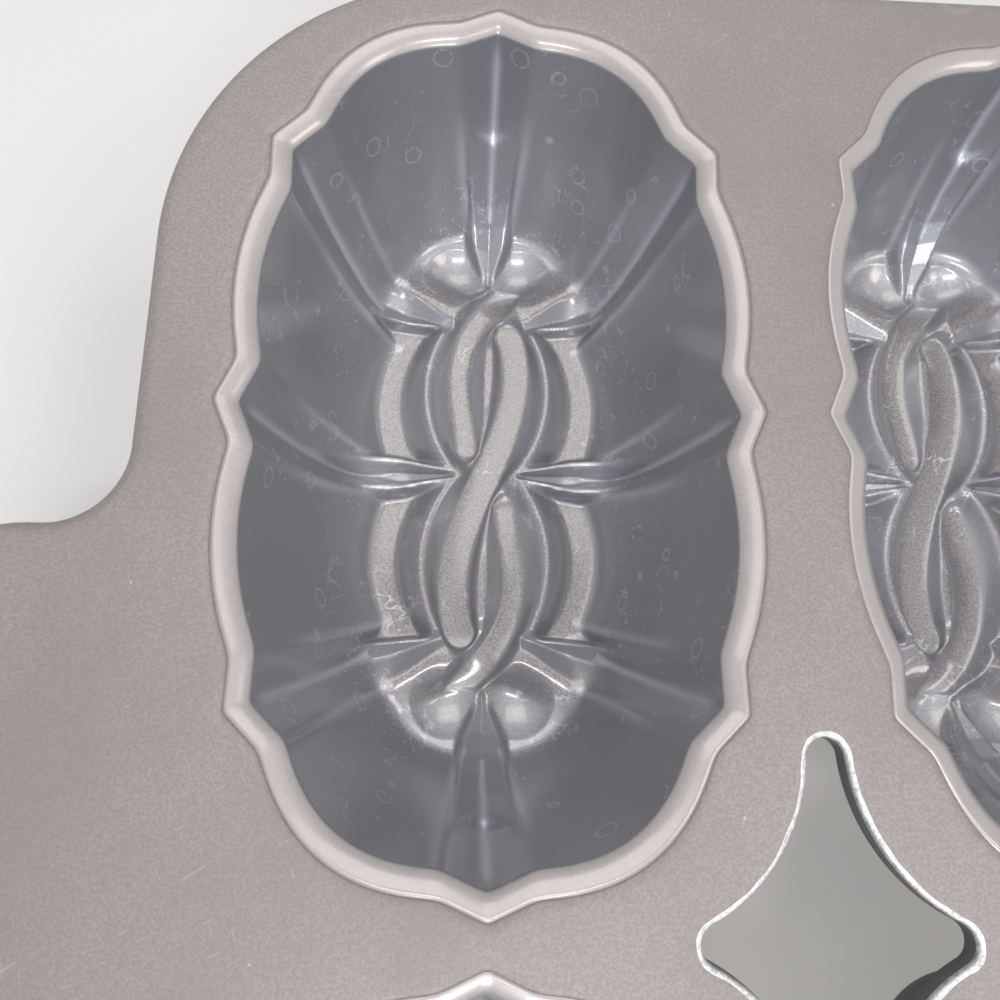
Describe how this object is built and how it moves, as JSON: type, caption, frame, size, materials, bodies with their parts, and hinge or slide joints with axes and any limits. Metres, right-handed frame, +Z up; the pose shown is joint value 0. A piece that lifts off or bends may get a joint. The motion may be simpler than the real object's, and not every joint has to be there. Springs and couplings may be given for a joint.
{
  "type": "mini bundt pan",
  "caption": "Flat tray of deep oblong fluted cake cups with pointed ribs, rounded floor hollows and a twisted strand relief in each floor, for baking small bundt-style loaves.",
  "frame": {"origin": "middle of the tray in plan, on the surface that the cups stand on", "axes": "+X along the row of four columns, +Y across the two rows, +Z up out of the cups' mouths"},
  "size_m": [0.3868, 0.2658, 0.0434],
  "materials": {
    "deck_coating": "cast aluminium under a matte warm grey non-stick coating with a fine pebbled grain, bare bright metal on the cut edges of the star openings",
    "cup_coating": "cast aluminium under a smooth satin dark grey non-stick coating, glossier on the rounded lip"
  },
  "bodies": {
    "root": {"deck": "deck_coating", "cup_front_1": "cup_coating", "cup_front_2": "cup_coating", "cup_front_3": "cup_coating", "cup_front_4": "cup_coating", "cup_back_1": "cup_coating", "cup_back_2": "cup_coating", "cup_back_3": "cup_coating", "cup_back_4": "cup_coating"}
  },
  "joints": []
}
